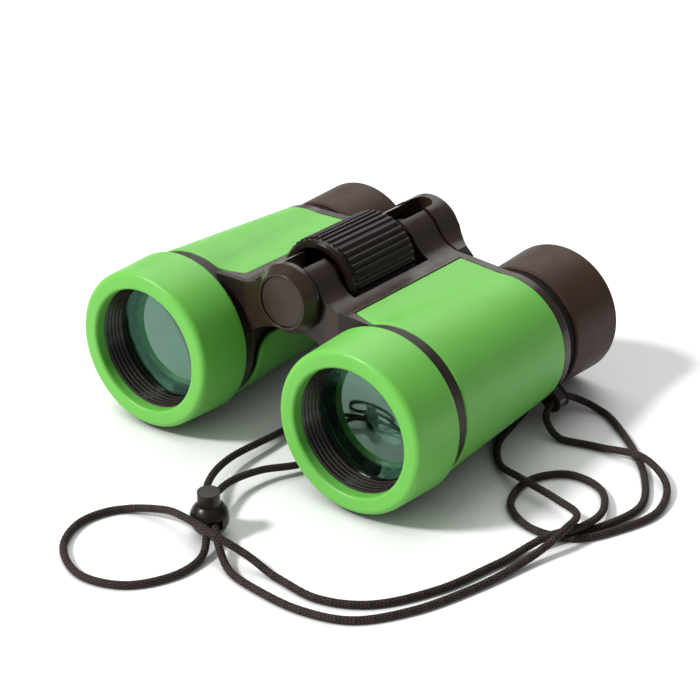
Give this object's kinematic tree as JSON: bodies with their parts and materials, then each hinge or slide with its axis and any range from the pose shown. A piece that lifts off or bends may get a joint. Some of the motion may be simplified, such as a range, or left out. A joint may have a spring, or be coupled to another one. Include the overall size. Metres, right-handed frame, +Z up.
{
  "type": "toy_binoculars",
  "caption": "Small folding toy binoculars in green and black with a ribbed centre focus wheel, sliding eyepieces, rubber eyecups and a neck cord with a cord lock",
  "frame": {"origin": "Centre of the binoculars' footprint on the table, without the cord, barrels side by side, at Z=0", "axes": "+X to the right barrel (the one nearer the camera in the picture), front lenses look along -Y, +Z up"},
  "size_m": [0.1397, 0.1447, 0.0487],
  "materials": {
    "shell_black": "satin moulded",
    "grip_green": "satin soft-touch",
    "cup_green": "satin soft-touch",
    "eyecup_rubber": "matte moulded",
    "ring_black": "ribbed",
    "lens_clear": "polished, coated",
    "steel": "drawn",
    "washer_plastic": "plain",
    "brass": "turned",
    "wheel_black": "ribbed satin",
    "inner_black": "moulded",
    "cord_braid": "round braid",
    "lock_black": "glossy moulded"
  },
  "bodies": {
    "right_half": {"right_barrel": "shell_black", "right_grip": "grip_green", "right_cup": "cup_green", "right_objective_ring": "ring_black", "right_objective_lens": "lens_clear", "right_eyecup": "eyecup_rubber", "hinge_pin": "steel", "rear_hinge_cap": "shell_black", "wheel_washer": "washer_plastic", "cord_left": "cord_braid", "cord_middle": "cord_braid", "cord_right": "cord_braid"},
    "left_half": {"left_barrel": "shell_black", "left_grip": "grip_green", "left_cup": "cup_green", "left_objective_ring": "ring_black", "left_objective_lens": "lens_clear", "left_eyecup": "eyecup_rubber", "front_disc": "shell_black", "cord_knot": "cord_braid"},
    "focus_drive": {"focus_wheel": "wheel_black", "focus_screw": "brass"},
    "right_focus": {"focus_nut": "inner_black", "right_focus_arm": "inner_black", "right_eyepiece_tube": "inner_black", "right_eye_lens": "lens_clear", "right_eye_ring": "inner_black"},
    "left_focus": {"left_focus_arm": "inner_black", "left_eyepiece_tube": "inner_black", "left_eye_lens": "lens_clear", "left_eye_ring": "inner_black"},
    "cord_lock": {"lock_ball": "lock_black", "lock_spring": "steel"},
    "lock_button": {"lock_plunger": "lock_black"}
  },
  "joints": [
    {"name": "fold", "type": "hinge", "parent": "right_half", "child": "left_half", "pos_m": [0, -0.00707, 0.03714], "axis": [0, 0.9989, -0.0466], "range_deg": [-32, 34], "deforming": ["cord_left", "cord_middle"]},
    {"name": "wheel_turn", "type": "hinge", "parent": "right_half", "child": "focus_drive", "pos_m": [0, -0.00707, 0.03714], "axis": [0, 0.9989, -0.0466], "range_deg": [-180, 180]},
    {"name": "right_slide", "type": "slide", "parent": "right_half", "child": "right_focus", "axis": [0, 0.9989, -0.0466], "range_m": [-0.0015, 0.0015]},
    {"name": "left_slide", "type": "slide", "parent": "left_half", "child": "left_focus", "axis": [0, 0.9989, -0.0466], "range_m": [-0.0015, 0.0015]},
    {"name": "lock_slide", "type": "slide", "parent": "right_half", "child": "cord_lock", "axis": [0.7071, -0.7071, 0], "range_m": [-0.003, 0]},
    {"name": "lock_press", "type": "slide", "parent": "cord_lock", "child": "lock_button", "axis": [0, 0, -1], "range_m": [0, 0.001], "stiffness_N_per_m": 400, "deforming": ["lock_spring"]}
  ],
  "couplings": [
    {"joint": "wheel_turn", "follows": "right_slide", "rad_per_m": 2094.4},
    {"joint": "left_slide", "follows": "right_slide", "ratio": 1}
  ]
}
